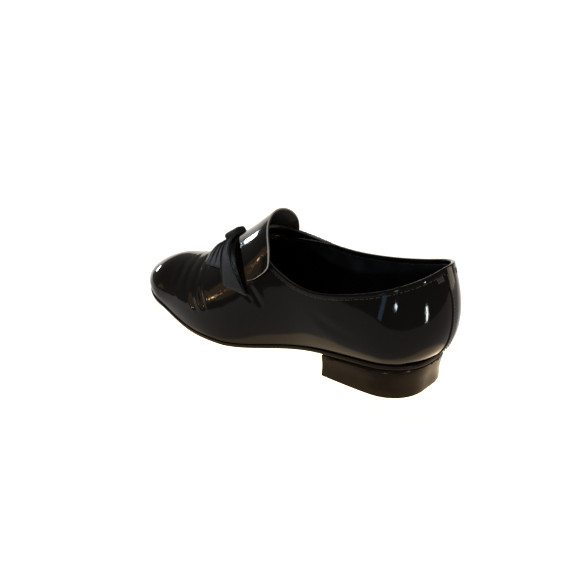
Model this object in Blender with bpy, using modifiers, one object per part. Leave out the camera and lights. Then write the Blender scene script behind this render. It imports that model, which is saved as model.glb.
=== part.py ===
"""A man's left opera pump in patent leather with a pinched ribbon bow.

Every form is worked out from one last, the foot-shaped block that a shoemaker builds on.
Sizes are in millimetres; MM turns them into Blender's metres as the vertices are made.
Along the shoe, u is the distance from the back of the heel, and x is the sideways distance,
positive on the lateral side, where the little toe is. The toe points to -Y.
"""
import math
from collections import namedtuple
from functools import lru_cache

import bmesh
import bpy
import numpy as np
from mathutils import Vector

MM = 0.001
TO_SIDE, TO_BACK, TO_TOP = Vector((1, 0, 0)), Vector((0, 1, 0)), Vector((0, 0, 1))

# Gaps and walls
GAP = 0.3               # between pieces that lie against each other
WALL = 2.0              # upper leather with its lining
LASTING_MARGIN = 9.0    # upper turned in under the last
SOLE_THICK = 4.0
TOE_THINNING = 0.8      # the sole is thinner by this much at its tip
SOLE_EDGE = 0.7         # the sole stands this far beyond the upper's lower edge
SOLE_EDGE_ROUND = 0.3   # and its edge swells by this much more
INSOLE_THICK = 2.0
INSOLE_INSET = 3.4      # from the upper's lower edge
STRIP_THICK = 1.2
STRIP_GAP = 0.5         # the strip's flat facets need a little more than GAP
TAB_THICK = 2.0
RIBBON_THICK = 0.8

# The last in plan
HEEL_CENTRE = 45.0      # u of the upright axis that the back sections turn about
TOE_CENTRE = 262.0      # u of the axis that the toe sections turn about
TOE_SHIFT = -2.0        # the toe lies this far to the medial side
SHIFT_START = 150.0     # u where the centre line starts to leave the middle
HEEL_SWEEP = 52.0       # station length of the quarter turn round the heel
TOE_SWEEP = 55.0        # station length of the quarter turn round the toe
THROAT = 166.0          # u of the front of the opening
STRAIGHT = TOE_CENTRE - HEEL_CENTRE

# The sole in profile
BREAST = 86.0           # u of the heel's front face
SEAT_BREAST = 15.5      # underside of the sole above the floor, at the breast
SEAT_BACK = 20.2        # and at the back of the heel
SEAT_BACK_U = 18.0
SEAT_SLOPE = -0.11      # of the seat where it meets the waist
FLAT_START = 178.0      # the forefoot rests on the floor from here
FLAT_END = 203.0        # to here
TOE_SPRING = 18.2       # height of the sole's underside at the tip
SPRING_POWER = 1.6
TIP = 300.0             # u of the sole's tip
SHOE_MIDDLE = 151.9     # u that lies on the origin
MIDDLE_SHIFT = 1.5      # the heel's middle lies this far to the lateral side of the origin

# The heel block
HEEL_FLARE = 1.0        # the sides stand this far beyond the upper's edge at the floor
HEEL_TAPER = 4.0        # the back comes in by this much on the way down
HEEL_PINCH = 0.7        # hollow of the block's side halfway down
HEEL_SEAT = 0.3         # the block's top stands this far beyond the upper's edge
HEEL_BEVEL = 0.5        # taken off the edge that meets the floor
HEEL_LEVELS = (1.0, 0.67, 0.33, 0.04, 0.0)
BREAST_HOLLOW = 4.0
BREAST_CUTS = 8

# One row for each section of the last. The widths run from the centre line to the lower edge,
# swell and rise place the lower handle of the section's curve, shoulder its upper handle.
Section = namedtuple("Section", "station lateral medial swell_lateral swell_medial rise shoulder")
LAST = (
    Section(-52.0, 26.5, 26.5, 18.5, 18.5, 9.5, 16.0),
    Section(-35.0, 29.5, 28.0, 14.5, 14.5, 10.5, 16.0),
    Section(-17.0, 32.3, 30.0, 11.0, 11.0, 11.5, 15.5),
    Section(0.0, 33.0, 30.8, 9.0, 9.0, 12.0, 15.0),
    Section(35.0, 32.5, 29.0, 8.0, 8.5, 16.0, 24.0),
    Section(65.0, 31.5, 26.5, 7.0, 9.5, 20.0, 31.0),
    Section(95.0, 35.5, 29.0, 8.0, 11.0, 25.0, 31.0),
    Section(123.0, 42.5, 39.0, 4.0, 6.0, 23.0, 27.5),
    Section(145.0, 44.3, 44.5, 3.5, 4.0, 20.0, 25.0),
    Section(170.0, 42.5, 45.5, 3.5, 3.5, 18.0, 24.0),
    Section(195.0, 37.8, 41.2, 4.0, 3.5, 15.0, 23.0),
    Section(217.0, 33.6, 36.3, 4.5, 4.0, 12.0, 21.0),
    Section(235.0, 32.3, 34.8, 6.5, 5.5, 10.0, 19.0),
    Section(254.0, 33.6, 34.6, 9.5, 9.0, 8.0, 17.5),
    Section(272.0, 35.5, 35.5, 12.0, 12.0, 7.0, 17.0),
)
# Height of the last's crown, which is the ridge of the vamp ahead of the throat.
Crown = namedtuple("Crown", "station z")
CROWN = (
    Crown(-52.0, 100.0), Crown(0.0, 102.0), Crown(35.0, 104.0), Crown(65.0, 104.0),
    Crown(95.0, 98.5), Crown(123.0, 85.0), Crown(145.0, 73.0), Crown(170.0, 59.5),
    Crown(195.0, 50.5), Crown(217.0, 46.4),
)
CROWN_BACK = 27.0       # the crown's distance from the heel axis, at the back
CROWN_SIDE = 20.0       # and at the side of the heel
CROWN_CLOSES = 95.0     # station where both sides' crowns meet in the ridge
CROWN_DROP = 31.0       # the upper handle lies this far below the crown at the heel
DROP_ENDS = 105.0       # station where the section's top is level
DROP_RUN = 70.0
TOE_SLOPE = 0.19        # the ridge still falls this much per millimetre at the toe axis
# Height of the opening's edge on each side
Topline = namedtuple("Topline", "station lateral medial")
TOPLINE = (
    Topline(-52.0, 86.0, 86.0), Topline(-35.0, 82.0, 84.5), Topline(-17.0, 75.5, 80.5),
    Topline(0.0, 69.5, 76.5), Topline(20.0, 64.0, 73.0), Topline(50.0, 59.0, 70.5),
    Topline(70.0, 61.5, 71.5), Topline(85.0, 67.5, 74.0), Topline(100.0, 75.0, 77.5),
    Topline(112.0, 80.5, 81.0), Topline(121.0, 84.8, 84.8),
)
TOPLINE_END_SLOPE = 0.45
LEAN = 1.6              # how strongly the quarter's sections lean towards the throat

# How finely the last is cut into faces
HEEL_ROWS = 8           # round the heel on each side
HEEL_SIDE_CUTS = 4      # along the straight side of the heel block
QUARTER_ROWS = 12
VAMP_ROWS = (2, 3, 6)   # throat to flat, along the flat, flat to toe axis
CAP_ROWS = 10
COLUMNS = 12            # from the lower edge to the opening or the ridge
SAMPLES = 121

# The saddle tab, one row for each line across it. Girth runs over the instep from the ridge,
# lateral positive; front and rear are the u of its edges, the lifts their height off the last.
Tab = namedtuple("Tab", "girth front rear lift_front lift_rear")
TAB = (
    Tab(-52.0, 180.0, 174.0, 0.6, 1.2),
    Tab(-44.0, 182.0, 168.0, 0.6, 2.2),
    Tab(-34.0, 184.5, 160.0, 0.6, 4.0),
    Tab(-24.0, 186.0, 154.0, 0.6, 5.2),
    Tab(-12.0, 187.5, 151.0, 0.7, 5.0),
    Tab(0.0, 188.0, 149.5, 0.8, 5.0),
    Tab(14.0, 180.0, 145.5, 0.7, 4.8),
    Tab(28.0, 168.0, 138.5, 0.6, 4.6),
    Tab(38.0, 161.0, 134.0, 0.6, 3.6),
    Tab(46.0, 156.5, 133.0, 0.6, 2.2),
    Tab(52.0, 153.5, 137.0, 0.6, 1.2),
    Tab(56.0, 151.5, 145.0, 0.6, 0.7),
)
TAB_LINES = 26          # cuts over the instep
TAB_WIDTH_CUTS = 5      # and from its front edge to its rear edge
TAB_FLARE = 1.5         # the tab keeps close to the vamp, then rises towards its rear edge

# The strip over the back seam, from the sole, 0, to the opening, 1
Strip = namedtuple("Strip", "height half_width")
STRIP = (Strip(0.0, 2.6), Strip(0.45, 2.6), Strip(0.8, 3.6), Strip(1.0, 7.0))
STRIP_END_SLOPE = 24.0
STRIP_START = 0.03      # its ends lie this part of the back's girth above the sole
STRIP_END = 0.995       # and at this part of it below the opening
STRIP_ROWS = 10
STRIP_HALF_COLUMNS = 2
STRIP_RADIUS = 39.0     # of the back where the strip lies

# The bow: each wing has a front and a rear loop. Pinch and hem give girth and u of the loop's
# two corners where the knot gathers it and where it folds back on itself.
Loop = namedtuple("Loop", "name side pinch_girth pinch_front pinch_rear "
                          "front_girth front_u rear_girth rear_u puff")
BOW = (
    Loop("bow_front_lateral", 1, 4.8, 205.0, 198.6, 27.0, 209.0, 38.5, 183.5, 2.4),
    Loop("bow_rear_lateral", 1, 4.8, 197.2, 192.0, 52.5, 176.5, 67.5, 150.0, 4.2),
    Loop("bow_front_medial", -1, 4.8, 205.0, 198.6, 30.0, 221.0, 44.0, 205.0, 2.4),
    Loop("bow_rear_medial", -1, 4.8, 198.0, 192.0, 54.0, 204.0, 58.0, 184.5, 4.2),
)
LOOP_CUTS = 6           # across the ribbon
LOOP_SPAN = 8           # from the knot to the fold
LOOP_UNDER = 0.7        # the lower layer lies this far off the last
LOOP_PINCHED = 2.6      # height of the loop at the knot
LOOP_FOLD = 2.2         # and just inside the fold
LOOP_FULLEST = 0.8      # below 1, the puff is fullest nearer to the knot
FOLD_ROUND = 0.04       # the fold stands out by this part of the loop's length
PLEAT = 0.9             # height of the gathers at the knot
PLEAT_RUN = 0.8         # part of the loop's length that they fade over

# The knot, a block lying along the ridge. One row for each of its cross-sections.
KnotRing = namedtuple("KnotRing", "along size")
KNOT = (
    KnotRing(-1.0, 0.72), KnotRing(-0.92, 0.93), KnotRing(-0.6, 1.0), KnotRing(0.0, 1.0),
    KnotRing(0.6, 1.0), KnotRing(0.92, 0.93), KnotRing(1.0, 0.72),
)
KNOT_SIDES = 8
KNOT_SQUARENESS = 0.6   # 1 would be round
KNOT_U = 198.5
KNOT_HALF_WIDTH = 4.6
KNOT_HALF_LENGTH = 8.0
KNOT_LIFT = 0.6
KNOT_HEIGHT = 8.9

SHARP_ANGLE = 40.0      # degrees; edges that turn more than this are shown sharp


def smooth(t):
    """Eases from 0 to 1."""
    t = min(max(t, 0.0), 1.0)
    return t * t * (3.0 - 2.0 * t)


def spline_through(xs, ys, slope_start=0.0, slope_end=0.0):
    """The smooth curve through a table's points, with given slopes at its ends."""
    xs, ys = np.asarray(xs, float), np.asarray(ys, float)
    step = np.diff(xs)
    chord = np.diff(ys) / step
    size = len(xs)
    matrix, right = np.zeros((size, size)), np.zeros(size)
    matrix[0, :2] = 2.0 * step[0], step[0]
    matrix[-1, -2:] = step[-1], 2.0 * step[-1]
    right[0] = 6.0 * (chord[0] - slope_start)
    right[-1] = 6.0 * (slope_end - chord[-1])
    for i in range(1, size - 1):
        matrix[i, i - 1:i + 2] = step[i - 1], 2.0 * (step[i - 1] + step[i]), step[i]
        right[i] = 6.0 * (chord[i] - chord[i - 1])
    bend = np.linalg.solve(matrix, right)

    def value(x):
        i = int(np.clip(np.searchsorted(xs, x) - 1, 0, size - 2))
        before, after, width = x - xs[i], xs[i + 1] - x, step[i]
        curved = (bend[i] * after ** 3 + bend[i + 1] * before ** 3) / (6.0 * width)
        low = (ys[i] / width - bend[i] * width / 6.0) * after
        high = (ys[i + 1] / width - bend[i + 1] * width / 6.0) * before
        return curved + low + high

    return value


def table_curves(rows, slope_start=0.0, slope_end=0.0):
    """A curve for each column of a table, by the column's name, along its first column."""
    places = [row[0] for row in rows]
    return {
        name: spline_through(places, [getattr(row, name) for row in rows], slope_start, slope_end)
        for name in rows[0]._fields[1:]
    }


LAST_CURVES = table_curves(LAST)
CROWN_Z = table_curves(CROWN, 0.0, -TOE_SLOPE)["z"]
TOPLINE_CURVES = table_curves(TOPLINE, 0.0, TOPLINE_END_SLOPE)


def sole_bottom(u):
    """Height of the sole's underside above the floor."""
    if u <= BREAST:
        rest = SEAT_BACK - SEAT_BREAST
        run = (BREAST - u) / (BREAST - SEAT_BACK_U)
        straight = -SEAT_SLOPE * (BREAST - SEAT_BACK_U)
        return SEAT_BREAST + straight * run + (rest - straight) * run * run
    if u < FLAT_START:
        span = FLAT_START - BREAST
        t = (u - BREAST) / span
        return (2 * t ** 3 - 3 * t ** 2 + 1) * SEAT_BREAST + (t ** 3 - 2 * t ** 2 + t) * span * SEAT_SLOPE
    if u <= FLAT_END:
        return 0.0
    return TOE_SPRING * ((u - FLAT_END) / (TIP - FLAT_END)) ** SPRING_POWER


def sole_top(u):
    """Height of the last's bottom, where the upper is turned in."""
    thinning = TOE_THINNING * smooth((u - FLAT_END) / (TIP - FLAT_END))
    return sole_bottom(u) + SOLE_THICK - thinning


def plane(side, station):
    """A section's plane: its axis point and outward direction in plan, as (x, u) pairs."""
    if station < 0.0:
        angle = math.pi / 2 * (1.0 + station / HEEL_SWEEP)
        return (0.0, HEEL_CENTRE), (side * math.sin(angle), -math.cos(angle))
    if station <= STRAIGHT:
        u = HEEL_CENTRE + station
        shift = TOE_SHIFT * smooth((u - SHIFT_START) / (TOE_CENTRE - SHIFT_START))
        return (shift, u), (side, 0.0)
    angle = math.pi / 2 * (station - STRAIGHT) / TOE_SWEEP
    return (TOE_SHIFT, TOE_CENTRE), (side * math.cos(angle), math.sin(angle))


def half_width(side, station):
    return LAST_CURVES["lateral" if side > 0 else "medial"](station)


def edge_point(side, station, margin, height):
    """A point this far outside the upper's lower edge, at a height worked out from its u."""
    (x, u), (out_x, out_u) = plane(side, station)
    reach = half_width(side, station) + margin
    x, u = x + out_x * reach, u + out_u * reach
    return (x, u, height(u))


@lru_cache(maxsize=None)
def section(side, station):
    """Points of one half section of the last, from its lower edge to its crown, and their girth."""
    (x, u), (out_x, out_u) = plane(side, station)
    foot = half_width(side, station)
    foot_z = edge_point(side, station, 0.0, sole_top)[2]
    swell = LAST_CURVES["swell_lateral" if side > 0 else "swell_medial"](station)
    shoulder = LAST_CURVES["shoulder"](station)
    if station < 0.0:
        crown = CROWN_SIDE + (CROWN_BACK - CROWN_SIDE) * smooth(-station / HEEL_SWEEP)
    else:
        crown = CROWN_SIDE * (1.0 - smooth(station / CROWN_CLOSES))
    crown_z = CROWN_Z(min(station, STRAIGHT))
    drop = CROWN_DROP * smooth((DROP_ENDS - station) / DROP_RUN)
    if station > STRAIGHT:
        drop = TOE_SLOPE * shoulder * out_u
    reach = np.array([foot, foot + swell, crown + shoulder, crown])
    height = np.array([foot_z, foot_z + LAST_CURVES["rise"](station), crown_z - drop, crown_z])
    t = np.linspace(0.0, 1.0, SAMPLES)
    weights = np.array([(1 - t) ** 3, 3 * t * (1 - t) ** 2, 3 * t ** 2 * (1 - t), t ** 3])
    across, up = reach @ weights, height @ weights
    points = np.stack([x + out_x * across, u + out_u * across, up], axis=1)
    girth = np.concatenate([[0.0], np.cumsum(np.linalg.norm(np.diff(points, axis=0), axis=1))])
    return points, girth


def surface(side, station, fraction):
    """A point of the last: fraction 0 lies on the lower edge, 1 on the crown."""
    points, girth = section(side, round(station, 6))
    return np.array([np.interp(fraction * girth[-1], girth, points[:, i]) for i in range(3)])


def surface_normal(side, station, fraction):
    """The direction away from the last at a point of it."""
    low, high = max(fraction - 0.02, 0.0), min(fraction + 0.02, 1.0)
    up = surface(side, station, high) - surface(side, station, low)
    ahead = surface(side, station + 0.5, fraction) - surface(side, station - 0.5, fraction)
    normal = np.cross(ahead, up) * side
    return normal / np.linalg.norm(normal)


def ride(girth, u, lift):
    """A point over the instep or vamp: girth from the ridge, lateral positive, lifted off the last."""
    side = 1 if girth >= 0.0 else -1
    station = u - HEEL_CENTRE
    length = section(side, round(station, 6))[1][-1]
    fraction = 1.0 - abs(girth) / length
    return surface(side, station, fraction) + surface_normal(side, station, fraction) * lift


@lru_cache(maxsize=None)
def top_fraction(side, station):
    """Where the opening's edge crosses a section."""
    if station >= THROAT - HEEL_CENTRE - 1e-6:
        return 1.0
    points, girth = section(side, round(station, 6))
    height = TOPLINE_CURVES["lateral" if side > 0 else "medial"](station)
    return float(np.interp(height, points[:, 2], girth)) / girth[-1]


def quarter_station(row):
    """Lower and upper station of a leaning section of the quarter, 0 at the heel, 1 at the throat."""
    throat = THROAT - HEEL_CENTRE
    return throat * row, throat * (1.0 - (1.0 - row) ** LEAN)


def side_rows():
    """Lower and upper station of every section from the back of the heel to the toe axis."""
    rows = [(-HEEL_SWEEP * (1.0 - i / HEEL_ROWS),) * 2 for i in range(HEEL_ROWS)]
    rows += [quarter_station(i / QUARTER_ROWS) for i in range(QUARTER_ROWS)]
    marks = [THROAT, FLAT_START, FLAT_END, TOE_CENTRE]
    for start, end, count in zip(marks, marks[1:], VAMP_ROWS):
        rows += [(start + (end - start) * i / count - HEEL_CENTRE,) * 2 for i in range(count)]
    return rows + [(STRAIGHT,) * 2]


def cap_place(across, ahead):
    """Spreads a square grid over the half-round toe: side, station and fraction of a place."""
    x = across * math.sqrt(1.0 - ahead * ahead / 2.0)
    y = ahead * math.sqrt(1.0 - across * across / 2.0)
    angle = math.atan2(y, abs(x))
    return (1 if x >= 0.0 else -1), STRAIGHT + TOE_SWEEP * angle / (math.pi / 2), 1.0 - math.hypot(x, y)


def edge_stations():
    """Stations of the upper's lower edge, from the back of the heel to the tip of the toe."""
    stations = [row[0] for row in side_rows()]
    stations += [cap_place(1.0, i / CAP_ROWS)[1] for i in range(1, CAP_ROWS + 1)]
    stations += [cap_place(1.0 - i / COLUMNS, 1.0)[1] for i in range(1, COLUMNS + 1)]
    return stations


def mesh_object(name, points, faces, outward, collection, material):
    """Makes an object of points in millimetres and welds those that coincide.

    The faces are turned so that the one farthest along the direction outward looks that way.
    """
    mesh = bpy.data.meshes.new(name)
    build = bmesh.new()
    verts = [
        build.verts.new(((x + MIDDLE_SHIFT) * MM, (SHOE_MIDDLE - u) * MM, z * MM))
        for x, u, z in points
    ]
    build.verts.ensure_lookup_table()
    for face in faces:
        build.faces.new([verts[i] for i in face])
    bmesh.ops.remove_doubles(build, verts=build.verts, dist=2e-6)
    bmesh.ops.dissolve_degenerate(build, edges=build.edges, dist=1e-7)
    bmesh.ops.recalc_face_normals(build, faces=build.faces)
    outermost = max(build.faces, key=lambda face: face.calc_center_median().dot(outward))
    if outermost.normal.dot(outward) < 0.0:
        bmesh.ops.reverse_faces(build, faces=build.faces)
    build.to_mesh(mesh)
    build.free()
    mesh.shade_smooth()
    mesh.set_sharp_from_angle(angle=math.radians(SHARP_ANGLE))
    mesh.materials.append(material)
    part = bpy.data.objects.new(name, mesh)
    collection.objects.link(part)
    return part


def grid_faces(rows, columns, start=0, closed=False):
    """Quads of a grid of points that are listed row by row."""
    faces = []
    for i in range(rows - 1 + (1 if closed else 0)):
        for j in range(columns - 1):
            a = start + i * columns + j
            b = start + ((i + 1) % rows) * columns + j
            faces.append((a, b, b + 1, a + 1))
    return faces


def thicken(part, thickness, offset):
    """Gives an open sheet its wall."""
    wall = part.modifiers.new("Wall", "SOLIDIFY")
    wall.thickness = thickness * MM
    wall.offset = offset
    wall.use_even_offset = True
    wall.use_rim = True


def make_upper(collection, material):
    """The hollow upper: quarters, vamp and toe in one sheet, turned in below, open at the top."""
    points, faces = [], []

    def add_grid(grid):
        start = len(points)
        for row in grid:
            points.extend(row)
        faces.extend(grid_faces(len(grid), len(grid[0]), start))

    for side in (1, -1):
        grid = []
        for low, high in side_rows():
            top = top_fraction(side, high)
            parts = [j / COLUMNS for j in range(COLUMNS + 1)]
            grid.append([surface(side, low + (high - low) * p, top * p) for p in parts])
        add_grid(grid)
    cap = []
    for i in range(CAP_ROWS + 1):
        across = [1.0 - j / COLUMNS for j in range(2 * COLUMNS + 1)]
        cap.append([surface(*cap_place(a, i / CAP_ROWS)) for a in across])
    add_grid(cap)
    for side in (1, -1):
        add_grid([
            [edge_point(side, station, margin, sole_top) for margin in (0.0, -LASTING_MARGIN)]
            for station in edge_stations()
        ])
    upper = mesh_object("upper", points, faces, TO_SIDE, collection, material)
    thicken(upper, WALL, -1.0)
    return upper


def slab(name, stations, rings, collection, material):
    """A flat piece between stacked outlines; each ring has a margin and a height for its edge."""
    points, faces = [], []
    count = len(stations)
    for margin, height in rings:
        for side in (1, -1):
            points.extend(edge_point(side, station, margin, height) for station in stations)

    def strips(one, other):
        """Quads between two rows of points, given by the number of their first point."""
        for i in range(count - 1):
            faces.append((one + i, one + i + 1, other + i + 1, other + i))

    level_step = 2 * count
    for level in range(len(rings) - 1):
        strips(level * level_step, (level + 1) * level_step)
        strips(level * level_step + count, (level + 1) * level_step + count)
    for level in (0, len(rings) - 1):
        strips(level * level_step, level * level_step + count)
    return mesh_object(name, points, faces, TO_SIDE, collection, material)


def make_outsole(collection, material):
    """The thin sole, close-trimmed, with its edge rounded."""
    rings = (
        (SOLE_EDGE, lambda u: sole_top(u) - GAP),
        (SOLE_EDGE + SOLE_EDGE_ROUND, lambda u: sole_bottom(u) + 0.5 * SOLE_THICK),
        (SOLE_EDGE, lambda u: sole_bottom(u) + 0.2 * SOLE_THICK),
        (0.0, sole_bottom),
    )
    return slab("outsole", edge_stations(), rings, collection, material)


def make_insole(collection, material):
    """The insole, lying on the upper's turned-in margin."""
    rings = (
        (-INSOLE_INSET, lambda u: sole_top(u) + WALL + GAP + INSOLE_THICK),
        (-INSOLE_INSET, lambda u: sole_top(u) + WALL + GAP),
    )
    return slab("insole", edge_stations(), rings, collection, material)


def heel_margin(station, level):
    """How far the block stands beyond the upper's edge: level is 1 under the sole, 0 on the floor."""
    to_back = math.sin(min(station, 0.0) / HEEL_SWEEP * math.pi / 2) ** 2
    floor = HEEL_FLARE - HEEL_TAPER * to_back
    if level == 0.0:
        return floor - HEEL_BEVEL
    hollow = HEEL_PINCH * 4.0 * level * (1.0 - level)
    return HEEL_SEAT * level + floor * (1.0 - level) - hollow


def make_heel(collection, material):
    """The heel block under the seat, its back raked in and its front face hollow."""
    breast_station = BREAST - HEEL_CENTRE
    stations = [-HEEL_SWEEP * (1.0 - i / HEEL_ROWS) for i in range(HEEL_ROWS)]
    stations += [breast_station * i / HEEL_SIDE_CUTS for i in range(HEEL_SIDE_CUTS + 1)]

    def height(u, level):
        return (sole_bottom(u) - GAP) * level

    points = []
    for level in HEEL_LEVELS:
        lateral, medial = (
            [edge_point(side, s, heel_margin(s, level), lambda u: height(u, level)) for s in stations]
            for side in (1, -1)
        )
        front = []
        for i in range(1, BREAST_CUTS):
            t = i / BREAST_CUTS
            x = lateral[-1][0] + (medial[-1][0] - lateral[-1][0]) * t
            u = BREAST - BREAST_HOLLOW * (1.0 - (2.0 * t - 1.0) ** 2)
            front.append((x, u, height(u, level)))
        points += lateral + front + medial[:0:-1]
    count = len(points) // len(HEEL_LEVELS)
    faces = []
    for ring in range(len(HEEL_LEVELS) - 1):
        for i in range(count):
            a, b = ring * count + i, ring * count + (i + 1) % count
            faces.append((a, b, b + count, a + count))
    # The flat top and underside: bands across the block, and one face behind the hollow front.
    last = len(stations) - 2
    for start in (0, (len(HEEL_LEVELS) - 1) * count):
        faces.append((start, start + 1, start + count - 1))
        for i in range(1, last):
            faces.append((start + i, start + i + 1, start + count - i - 1, start + count - i))
        faces.append(tuple(range(start + last, start + count - last + 1)))
    return mesh_object("heel", points, faces, TO_SIDE, collection, material)


def make_back_strip(collection, material):
    """The narrow strip over the back seam, following the upper's own surface."""
    half_width = table_curves(STRIP, 0.0, STRIP_END_SLOPE)["half_width"]
    points = []
    for i in range(STRIP_ROWS + 1):
        height = i / STRIP_ROWS
        for j in range(-STRIP_HALF_COLUMNS, STRIP_HALF_COLUMNS + 1):
            side = 1 if j >= 0 else -1
            turn = abs(j) / STRIP_HALF_COLUMNS * half_width(height) / STRIP_RADIUS
            station = -HEEL_SWEEP * (1.0 - turn / (math.pi / 2))
            along = STRIP_START + (STRIP_END - STRIP_START) * height
            fraction = along * top_fraction(side, round(station, 6))
            normal = surface_normal(side, station, fraction)
            points.append(surface(side, station, fraction) + normal * STRIP_GAP)
    faces = grid_faces(STRIP_ROWS + 1, 2 * STRIP_HALF_COLUMNS + 1)
    strip = mesh_object("back_strip", points, faces, TO_BACK, collection, material)
    thicken(strip, STRIP_THICK, 1.0)
    return strip


def make_tab(collection, material):
    """The saddle tab that arches over the instep and stands free at its rear edge."""
    curves = table_curves(TAB)
    points = []
    for i in range(TAB_LINES + 1):
        girth = TAB[0].girth + (TAB[-1].girth - TAB[0].girth) * i / TAB_LINES
        front, rear = curves["front"](girth), curves["rear"](girth)
        lift_front, lift_rear = curves["lift_front"](girth), curves["lift_rear"](girth)
        for j in range(TAB_WIDTH_CUTS + 1):
            t = j / TAB_WIDTH_CUTS
            lift = lift_front + (lift_rear - lift_front) * t ** TAB_FLARE
            points.append(ride(girth, front + (rear - front) * t, lift))
    faces = grid_faces(TAB_LINES + 1, TAB_WIDTH_CUTS + 1)
    tab = mesh_object("tongue_tab", points, faces, TO_TOP, collection, material)
    thicken(tab, TAB_THICK, 1.0)
    return tab


def make_loop(loop, collection, material):
    """One flattened ribbon loop of the bow, from the knot down over the vamp and back."""
    points = []
    path = [(i / LOOP_SPAN, 0) for i in range(LOOP_SPAN + 1)]
    path += [(1.0, 0.5)]
    path += [(1.0 - i / LOOP_SPAN, 1) for i in range(LOOP_SPAN + 1)]
    for along, layer in path:
        for j in range(LOOP_CUTS + 1):
            t = j / LOOP_CUTS
            pinch_u = loop.pinch_front + (loop.pinch_rear - loop.pinch_front) * t
            hem_u = loop.front_u + (loop.rear_u - loop.front_u) * t
            hem_girth = loop.front_girth + (loop.rear_girth - loop.front_girth) * t
            reach = along if layer == 0.5 else along - FOLD_ROUND * along ** 4
            u = pinch_u + (hem_u - pinch_u) * reach
            girth = loop.pinch_girth + (hem_girth - loop.pinch_girth) * reach
            height = LOOP_PINCHED + (LOOP_FOLD - LOOP_PINCHED) * along
            height += loop.puff * math.sin(math.pi * along ** LOOP_FULLEST) ** 1.5
            height += PLEAT * (1.0 - smooth(along / PLEAT_RUN)) * (j % 2)
            lift = LOOP_UNDER + height * layer
            points.append(ride(loop.side * girth, u, lift))
    faces = grid_faces(len(path), LOOP_CUTS + 1, closed=True)
    band = mesh_object(loop.name, points, faces, TO_TOP, collection, material)
    thicken(band, RIBBON_THICK, -1.0)
    return band


def squared(value):
    """Pushes a sine or cosine outward, for a round section with flattened sides."""
    return math.copysign(abs(value) ** KNOT_SQUARENESS, value)


def make_knot(collection, material):
    """The gathered wrap in the middle of the bow, a rounded block lying along the ridge."""
    points, faces = [], []
    for ring in KNOT:
        u = KNOT_U + ring.along * KNOT_HALF_LENGTH
        for i in range(KNOT_SIDES):
            angle = 2 * math.pi * i / KNOT_SIDES
            across = squared(math.cos(angle)) * ring.size * KNOT_HALF_WIDTH
            up = squared(math.sin(angle)) * ring.size
            points.append(ride(across, u, KNOT_LIFT + KNOT_HEIGHT / 2 * (1.0 + up)))
    faces += [tuple(range(KNOT_SIDES)), tuple(range(len(points) - KNOT_SIDES, len(points)))]
    for row in range(len(KNOT) - 1):
        for i in range(KNOT_SIDES):
            a, b = row * KNOT_SIDES + i, row * KNOT_SIDES + (i + 1) % KNOT_SIDES
            faces.append((a, b, b + KNOT_SIDES, a + KNOT_SIDES))
    return mesh_object("bow_knot", points, faces, TO_TOP, collection, material)


def make_material(name, colour, roughness, coat=0.0):
    material = bpy.data.materials.new(name)
    material.use_nodes = True
    shader = material.node_tree.nodes["Principled BSDF"]
    shader.inputs["Base Color"].default_value = (*colour, 1.0)
    shader.inputs["Roughness"].default_value = roughness
    shader.inputs["Metallic"].default_value = 0.0
    shader.inputs["Coat Weight"].default_value = coat
    material.diffuse_color = (*colour, 1.0)
    return material


def main():
    for old in list(bpy.data.objects):
        bpy.data.objects.remove(old, do_unlink=True)
    collection = bpy.data.collections.new("opera_pump")
    bpy.context.scene.collection.children.link(collection)
    patent = (0.012, 0.010, 0.009)
    make_upper(collection, make_material("patent leather upper", patent, 0.08, 1.0))
    make_outsole(collection, make_material("black sole leather", (0.015, 0.013, 0.012), 0.35))
    make_heel(collection, make_material("heel leather", (0.022, 0.017, 0.013), 0.3))
    make_insole(collection, make_material("insole leather", (0.010, 0.009, 0.009), 0.6))
    make_back_strip(collection, make_material("patent leather strip", patent, 0.08, 1.0))
    make_tab(collection, make_material("patent leather tab", patent, 0.08, 1.0))
    for loop in BOW:
        make_loop(loop, collection, make_material(loop.name + " ribbon", (0.024, 0.025, 0.026), 0.7))
    make_knot(collection, make_material("knot ribbon", (0.022, 0.023, 0.024), 0.7))


main()
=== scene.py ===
# %% [markdown]
# # A patent leather opera pump, left shoe
#
# An opera pump is a low-cut dress slip-on. Its upper is made on a last, a foot-shaped block, so
# the solids that come with the frame already have the true shape. This lesson gives each of them
# its finish: the mirror gloss of patent leather with the creases of wear, the folded edge round
# the opening, the ribbed ribbon of the bow, the stitches, the waxed sole edge and the heel.
#
# The frame is loaded first. Every later piece is made in the same metres, so nothing is fitted
# by eye.

# %% Load the frame
import math

import bmesh
import bpy
import numpy as np
from mathutils import Matrix, Quaternion, Vector, noise
from mathutils.bvhtree import BVHTree


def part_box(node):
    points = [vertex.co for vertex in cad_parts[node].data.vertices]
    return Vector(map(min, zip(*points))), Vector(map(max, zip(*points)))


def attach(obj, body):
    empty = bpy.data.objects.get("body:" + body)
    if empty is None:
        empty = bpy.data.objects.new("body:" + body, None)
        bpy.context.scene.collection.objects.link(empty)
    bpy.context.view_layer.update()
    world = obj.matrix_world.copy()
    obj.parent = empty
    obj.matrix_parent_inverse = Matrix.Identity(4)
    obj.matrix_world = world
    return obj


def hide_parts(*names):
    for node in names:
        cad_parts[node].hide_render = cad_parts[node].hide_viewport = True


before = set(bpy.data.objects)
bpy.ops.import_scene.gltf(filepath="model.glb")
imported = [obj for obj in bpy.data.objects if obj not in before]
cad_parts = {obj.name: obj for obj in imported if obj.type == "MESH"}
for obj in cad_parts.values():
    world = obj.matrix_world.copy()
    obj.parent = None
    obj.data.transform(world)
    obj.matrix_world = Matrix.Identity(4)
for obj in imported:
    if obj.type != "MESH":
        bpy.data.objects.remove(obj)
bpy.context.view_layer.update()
MM = 0.001
print("solids:", ", ".join(sorted(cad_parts)))

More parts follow.
